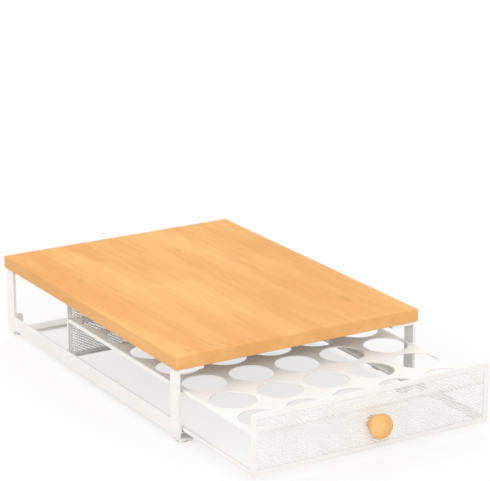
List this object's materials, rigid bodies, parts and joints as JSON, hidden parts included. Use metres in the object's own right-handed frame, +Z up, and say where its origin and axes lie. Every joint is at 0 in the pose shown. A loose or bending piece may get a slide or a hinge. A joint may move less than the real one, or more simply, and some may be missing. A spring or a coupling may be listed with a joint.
{
  "type": "coffee pod drawer",
  "caption": "wooden-topped white steel stand with a sliding drawer: mesh front and back panels, a round wooden knob and a shelf of round holes that hold single-serve coffee pods",
  "frame": {"origin": "on the surface that the stand's feet rest on, under the middle of the whole object with its drawer pulled out as pictured", "axes": "+X to the right seen from the front, +Y from the drawer's front to the back, +Z up; the drawer opens towards -Y"},
  "size_m": [0.294, 0.553, 0.0925],
  "materials": {
    "white_steel": "satin powder coat",
    "deck_wood": "satin lacquer",
    "knob_wood": "satin lacquer",
    "pad_rubber": "matt",
    "screw_steel": "zinc plated"
  },
  "bodies": {
    "stand": {"top_board": "deck_wood", "board_screws": "screw_steel", "leg_front_left": "white_steel", "leg_front_right": "white_steel", "leg_rear_left": "white_steel", "leg_rear_right": "white_steel", "foot_pads": "pad_rubber", "rear_crossbar": "white_steel", "side_rail_left": "white_steel", "side_rail_right": "white_steel", "slide_ledge_left": "white_steel", "slide_ledge_right": "white_steel", "rear_stop_left": "white_steel", "rear_stop_right": "white_steel"},
    "drawer": {"drawer_front_frame": "white_steel", "drawer_front_mesh": "white_steel", "drawer_rear_frame": "white_steel", "drawer_rear_mesh": "white_steel", "pod_shelf": "white_steel", "runner_left": "white_steel", "runner_right": "white_steel", "knob": "knob_wood", "knob_washers": "screw_steel", "knob_screw": "screw_steel"}
  },
  "joints": [
    {"name": "drawer_slide", "type": "slide", "parent": "stand", "child": "drawer", "axis": [0, -1, 0], "range_m": [-0.1275, 0.1705]}
  ]
}
